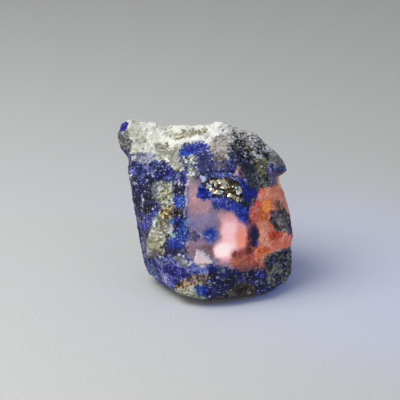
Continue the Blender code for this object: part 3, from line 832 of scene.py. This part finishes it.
def paint(points, seen, middles=None):
    """The share of each mineral at each point: the body's zones, then the front's, then guests.

    With the middles of grains, zones are read there, and each grain takes one mineral or the
    other at a granular border.
    """
    names = list(MINERALS)
    shares = np.zeros((len(points), len(names)))
    shares[:, names.index("slate_navy")] = 1.0
    places = points if middles is None else middles
    zone = 0

    def cover(name, amount, near=slice(None)):
        nonlocal zone
        zone += 1
        if middles is not None and MINERALS[name][2] in GRAINY_HABITS:
            amount = smooth_step(-0.15, 0.15, amount - 0.15 - 0.7 * own_value(middles[near], 7, zone))
        shares[near] *= 1 - amount[:, None]
        shares[near, names.index(name)] += amount

    wandered = wander(places, BODY_WANDER)
    for name, soft, centre, radii in BODY_ZONES:
        reach = (wandered - centre) / radii
        depth = (np.sqrt((reach**2).sum(axis=1)) - 1) * min(radii)
        cover(name, 1 - smooth_step(-soft, soft, depth))
    pixels = to_pixels(wander(places, FRONT_WANDER))
    for name, soft, outline in FRONT_ZONES:
        near = close_to(pixels, outline, soft)
        depth = outline_depth(pixels[near], outline)
        cover(name, seen[near] * (1 - smooth_step(-soft, soft, depth)), near)
    for turn, (host, guest, share, width) in enumerate(GUESTS):
        if middles is None:
            break
        value = cloud(middles, width, 200 + turn) if width else own_value(middles, 300 + turn, 0)
        chosen = value < np.quantile(value, share)
        moved = shares[:, names.index(host)] * chosen
        shares[:, names.index(host)] -= moved
        shares[:, names.index(guest)] += moved
    sharp = to_pixels(points)
    for name, width, route in FRONT_LINES:
        near = close_to(sharp, route, width)
        ends = np.array(route, float)
        away = np.min([line_distance(sharp[near], a, b) for a, b in zip(ends, ends[1:])], axis=0)
        draw(shares, names.index(name), near, seen, away, width / 2)
    for name, radius, spots in FRONT_SPOTS:
        for spot in spots:
            near = close_to(sharp, [spot], radius + 1)
            away = np.linalg.norm(sharp[near] - np.array(spot), axis=1)
            draw(shares, names.index(name), near, seen, away, radius)
    return shares


def draw(shares, column, near, seen, away, reach):
    """Covers the points that are within reach of a line or spot with one mineral."""
    amount = seen[near] * (1 - smooth_step(reach - 0.4, reach + 0.4, away))
    shares[near] *= 1 - amount[:, None]
    shares[near, column] += amount


def mineral_table():
    rows = []
    for name, (dark, light, habit, painted_glow) in MINERALS.items():
        row = np.concatenate([linear(dark), linear(light), HABITS[habit], [painted_glow, STEPS.get(name, 0.0)]])
        rows.append(row)
    return np.array(rows)


def store(mesh, name, values):
    """Keeps one value, or one colour, for each vertex under a name that the material reads."""
    if values.ndim == 1:
        layer = mesh.attributes.new(name, "FLOAT", "POINT")
        layer.data.foreach_set("value", values.astype(np.float32))
    else:
        layer = mesh.color_attributes.new(name, "FLOAT_COLOR", "POINT")
        rgba = np.concatenate([values, np.ones((len(values), 1))], axis=1)
        layer.data.foreach_set("color", rgba.astype(np.float32).ravel())


def build_stone():
    stone = fine_stone()
    mesh = stone.data
    points, normals = mesh_points(mesh), mesh_normals(mesh)
    to_eye = eye_point() - points
    to_eye /= np.linalg.norm(to_eye, axis=1)[:, None]
    seen = smooth_step(-0.30, 0.0, (normals * to_eye).sum(axis=1))
    middles, fine_rise = grains(points + 0.06 * cloud(points, 0.4, 60)[:, None], GRAIN, 3)
    table = mineral_table()
    soft_look = paint(points, seen) @ table
    colours = paint(points, seen, middles) @ table
    coarse, middle, fine, rough, contrast, painted_sparkle_share, glass, painted_glow, step = soft_look[:, 6:].T
    rise = step + coarse * cloud(points, 1.4, 1) + middle * grains(points, 0.75, 2)[1] + fine * fine_rise
    lift = np.clip((points[:, 2] - 0.15) / 0.3, 0, 1)
    points += normals * (rise * lift)[:, None]
    mesh.vertices.foreach_set("co", (points * MM).ravel())
    mesh.update()
    blotch = 0.6 * cloud(points, 0.9, 70) + 0.4 * cloud(points, 0.4, 71)
    tone = 0.45 + contrast * (0.6 * blotch + 0.75 * (own_value(middles, 8, 0) - 0.5))
    store(mesh, "dark_grains", colours[:, 0:3])
    store(mesh, "light_grains", colours[:, 3:6])
    for name, values in (
        ("tone", tone), ("roughness", rough), ("contrast", contrast), ("painted_sparkle_share", painted_sparkle_share),
        ("glass", glass), ("painted_glow", painted_glow),
    ):
        store(mesh, name, values)
    mesh.shade_smooth()
    mesh.materials.clear()
    mesh.materials.append(rock_material())
    return stone, points, normals


class Nodes:
    """Short calls for building a material's node tree."""

    def __init__(self, name):
        self.material = bpy.data.materials.new(name)
        self.material.use_nodes = True
        self.tree = self.material.node_tree
        self.shader = self.tree.nodes["Principled BSDF"]

    def add(self, kind, inputs=None, **settings):
        node = self.tree.nodes.new(kind)
        for key, value in settings.items():
            setattr(node, key, value)
        for key, value in (inputs or {}).items():
            self.put(node.inputs[key], value)
        return node

    def put(self, socket, value):
        if isinstance(value, bpy.types.NodeSocket):
            self.tree.links.new(value, socket)
        else:
            socket.default_value = value

    def math(self, operation, a, b=0.0, clamp=False):
        return self.add("ShaderNodeMath", {0: a, 1: b}, operation=operation, use_clamp=clamp).outputs[0]

    def total(self, parts, offset=0.0):
        """The sum of sockets, each times its share."""
        result = offset
        for socket, share in parts:
            result = self.math("ADD", self.math("MULTIPLY", socket, share), result)
        return result

    def vector(self, operation, a, b=None, scale=None):
        node = self.add("ShaderNodeVectorMath", {0: a}, operation=operation)
        if b is not None:
            self.put(node.inputs[1], b)
        if scale is not None:
            self.put(node.inputs["Scale"], scale)
        return node.outputs[0]

    def lean(self, colour, amount):
        """A cell's random colour as a sideways push of the surface normal."""
        centred = self.vector("SUBTRACT", colour, (0.5, 0.5, 0.5))
        return self.vector("SCALE", centred, scale=amount)

    def mix(self, amount, a, b):
        node = self.add("ShaderNodeMix", {"Factor": amount}, data_type="RGBA")
        self.put(node.inputs[6], a)
        self.put(node.inputs[7], b)
        return node.outputs[2]

    def value(self, name):
        return self.add("ShaderNodeAttribute", attribute_name=name).outputs["Fac"]

    def colour(self, name):
        return self.add("ShaderNodeAttribute", attribute_name=name).outputs["Color"]


def rock_material():
    n = Nodes("afghanite_rock")
    place = n.add("ShaderNodeTexCoord").outputs["Object"]
    crystals = n.add("ShaderNodeTexVoronoi", {"Vector": place, "Scale": 4500.0})
    specks = n.add("ShaderNodeTexVoronoi", {"Vector": place, "Scale": 9500.0})
    cloudy = {"Vector": place, "Scale": 2600.0, "Detail": 4.0, "Roughness": 0.6}
    haze = n.add("ShaderNodeTexNoise", cloudy)
    patches = n.add("ShaderNodeTexNoise", {"Vector": place, "Scale": 700.0, "Detail": 2.0})
    contrast = n.value("contrast")
    crystal_tone = n.add("ShaderNodeSeparateColor", {0: crystals.outputs["Color"]}).outputs[0]
    speck_tone = n.add("ShaderNodeSeparateColor", {0: specks.outputs["Color"]}).outputs[0]
    fine_tone = n.total([(crystal_tone, 0.45), (speck_tone, 0.30), (haze.outputs["Fac"], 0.7)], -0.725)
    tone = n.math("ADD", n.value("tone"), n.math("MULTIPLY", fine_tone, contrast), clamp=True)
    tone = n.math("POWER", tone, 1.8)
    body = n.mix(tone, n.colour("dark_grains"), n.colour("light_grains"))
    # Painted glints: a share of the finest specks is painted pale blue-white, as if they caught the
    # light.
    crowd = n.math("MULTIPLY", n.value("painted_sparkle_share"), n.math("MULTIPLY", patches.outputs["Fac"], 1.2))
    painted_flash = n.math("GREATER_THAN", speck_tone, n.math("SUBTRACT", 1.0, crowd))
    body = n.mix(n.math("MULTIPLY", painted_flash, 0.45), body, (0.80, 0.82, 0.92, 1.0))
    n.put(n.shader.inputs["Base Color"], body)
    roughness = n.math("ADD", n.value("roughness"), n.math("MULTIPLY", fine_tone, 0.3))
    n.put(n.shader.inputs["Roughness"], roughness)
    n.shader.inputs["Specular IOR Level"].default_value = 0.25
    n.put(n.shader.inputs["Subsurface Weight"], n.math("MULTIPLY", n.value("glass"), 0.7))
    n.shader.inputs["Subsurface Radius"].default_value = (1.0, 0.45, 0.35)
    n.shader.inputs["Subsurface Scale"].default_value = 0.0012
    # Painted glow: the surface emits its own colour, as strongly as the mineral's glow.
    n.put(n.shader.inputs["Emission Color"], body)
    n.put(n.shader.inputs["Emission Strength"], n.value("painted_glow"))
    tilt = n.vector("ADD", n.lean(crystals.outputs["Color"], 0.5), n.lean(specks.outputs["Color"], 0.5))
    tilt = n.vector("SCALE", tilt, scale=contrast)
    facing = n.vector("ADD", n.add("ShaderNodeNewGeometry").outputs["Normal"], tilt)
    facing = n.vector("NORMALIZE", facing)
    relief = {"Strength": 0.3, "Distance": 0.00005, "Height": fine_tone, "Normal": facing}
    bump = n.add("ShaderNodeBump", relief)
    n.put(n.shader.inputs["Normal"], bump.outputs[0])
    return n.material


def brass_material():
    n = Nodes("pyrite")
    place = n.add("ShaderNodeTexCoord").outputs["Object"]
    haze = n.add("ShaderNodeTexNoise", {"Vector": place, "Scale": 2500.0, "Detail": 3.0})
    # Painted reflection: each facet's painted brightness sets the metal's colour, from dark brown to
    # pale brass.
    tone = n.math("ADD", n.value("bright"), n.math("MULTIPLY", haze.outputs["Fac"], 0.25), clamp=True)
    tone = n.math("POWER", tone, 1.5)
    colour = n.mix(tone, (0.07, 0.042, 0.018, 1.0), (1.0, 0.92, 0.70, 1.0))
    n.put(n.shader.inputs["Base Color"], colour)
    n.shader.inputs["Metallic"].default_value = 1.0
    n.put(n.shader.inputs["Roughness"], n.total([(haze.outputs["Fac"], 0.25)], 0.15))
    return n.material


def crumple(shape, centre, radii, axes, bright, rng, layer):
    """Adds one lump of crumpled metal with flat facets, and says how brightly each facet is painted, a
    painted reflection that changes at random from facet to facet.
    """
    ball = bmesh.ops.create_icosphere(shape, subdivisions=2, radius=1.0)["verts"]
    right, up, outward = axes
    for vertex in ball:
        ragged = vertex.co * rng.uniform(0.72, 1.28)
        vertex.co = centre + right * (ragged.x * radii[0]) + up * (ragged.y * radii[1]) + outward * (
            ragged.z * radii[2]
        )
    for face in {face for vertex in ball for face in vertex.link_faces}:
        face[layer] = bright + rng.normal(0.0, 0.28)
        face.smooth = False


def build_brass(points, normals):
    """Crumpled lumps of pyrite packed together on the front, half sunk in the rock."""
    rng = np.random.default_rng(11)
    right, up, forward = (Vector(axis) for axis in camera_axes())
    pixels = to_pixels(points)
    facing = np.flatnonzero(normals @ np.array(forward) < -0.2)
    shape = bmesh.new()
    layer = shape.faces.layers.float.new("bright")
    for place, (across, down), bright in BRASS_LUMPS:
        nearest = facing[np.argmin(((pixels[facing] - place) ** 2).sum(axis=1))]
        outward = Vector(normals[nearest])
        across_axis = (right - outward * right.dot(outward)).normalized()
        axes = (across_axis, outward.cross(across_axis), outward)
        width, height = across * PIXEL_MM, down * PIXEL_MM
        centre = Vector(points[nearest]) + outward * 0.04
        crumple(shape, centre, (width, height, 0.6 * min(width, height)), axes, bright, rng, layer)
    bmesh.ops.scale(shape, vec=(MM, MM, MM), verts=shape.verts)
    mesh = bpy.data.meshes.new("pyrite_grains")
    shape.to_mesh(mesh)
    shape.free()
    lumps = bpy.data.objects.new("pyrite_grains", mesh)
    bpy.context.scene.collection.objects.link(lumps)
    mesh.materials.append(brass_material())
    return lumps


def floor_material():
    n = Nodes("studio_floor")
    place = n.add("ShaderNodeTexCoord").outputs["Object"]
    grain = n.add("ShaderNodeTexNoise", {"Vector": place, "Scale": 4000.0, "Detail": 2.0})
    tone = n.mix(grain.outputs["Fac"], (0.52, 0.524, 0.52, 1.0), (0.70, 0.704, 0.70, 1.0))
    n.put(n.shader.inputs["Base Color"], tone)
    n.shader.inputs["Roughness"].default_value = 0.8
    relief = {"Strength": 0.25, "Distance": 0.00005, "Height": grain.outputs["Fac"]}
    bump = n.add("ShaderNodeBump", relief)
    n.put(n.shader.inputs["Normal"], bump.outputs[0])
    return n.material


def build_floor():
    mesh = bpy.data.meshes.new("floor")
    half = 0.8
    corners = [(-half, -half, 0), (half, -half, 0), (half, half, 0), (-half, half, 0)]
    mesh.from_pydata(corners, [], [(0, 1, 2, 3)])
    mesh.materials.append(floor_material())
    floor = bpy.data.objects.new("floor", mesh)
    bpy.context.scene.collection.objects.link(floor)


def area_light(name, place, target, size, power, colour=(1, 1, 1)):
    data = bpy.data.lights.new(name, "AREA")
    data.shape = "DISK"
    data.size = size * MM
    data.energy = power
    data.color = colour
    light = bpy.data.objects.new(name, data)
    light.location = Vector(place) * MM
    light.rotation_euler = (Vector(target) - Vector(place)).to_track_quat("-Z", "Y").to_euler()
    bpy.context.scene.collection.objects.link(light)


def violet_spot(place, target, width, power):
    """A small violet lamp that tints the floor beside the stone."""
    data = bpy.data.lights.new("violet_spot", "SPOT")
    data.spot_size = math.radians(width)
    data.spot_blend = 1.0
    data.shadow_soft_size = 8 * MM
    data.energy = power
    data.color = (0.05, 0.22, 1.0)
    light = bpy.data.objects.new("violet_spot", data)
    light.location = Vector(place) * MM
    light.rotation_euler = (Vector(target) - Vector(place)).to_track_quat("-Z", "Y").to_euler()
    bpy.context.scene.collection.objects.link(light)


def light_scene():
    area_light("softbox", (-70, -30, 130), (0, 0, 6), 110, 0.17)
    area_light("front_fill", (-40, -200, 110), (0, 0, 8), 90, 0.05)
    violet_spot((80, -50, 80), (15, 2, 0), 26, 0.2)
    world = bpy.data.worlds.new("studio")
    world.use_nodes = True
    world.node_tree.nodes["Background"].inputs[0].default_value = (0.97, 0.98, 1.0, 1.0)
    world.node_tree.nodes["Background"].inputs[1].default_value = 0.30
    bpy.context.scene.world = world
    bpy.context.scene.view_settings.view_transform = "Standard"


def place_camera():
    data = bpy.data.cameras.new("camera")
    data.angle = 2 * math.atan(FRAME_PIXELS * PIXEL_MM / 2 / CAMERA_DISTANCE)
    data.clip_start = 0.01
    camera = bpy.data.objects.new("camera", data)
    camera.location = Vector(eye_point()) * MM
    camera.rotation_euler = Vector(camera_axes()[2]).to_track_quat("-Z", "Y").to_euler()
    bpy.context.scene.collection.objects.link(camera)
    bpy.context.scene.camera = camera


place_camera()
light_scene()
build_floor()
stone, stone_points, stone_normals = build_stone()
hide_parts("stone")
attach(stone, "root")
pyrite = build_brass(stone_points, stone_normals)
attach(pyrite, "root")
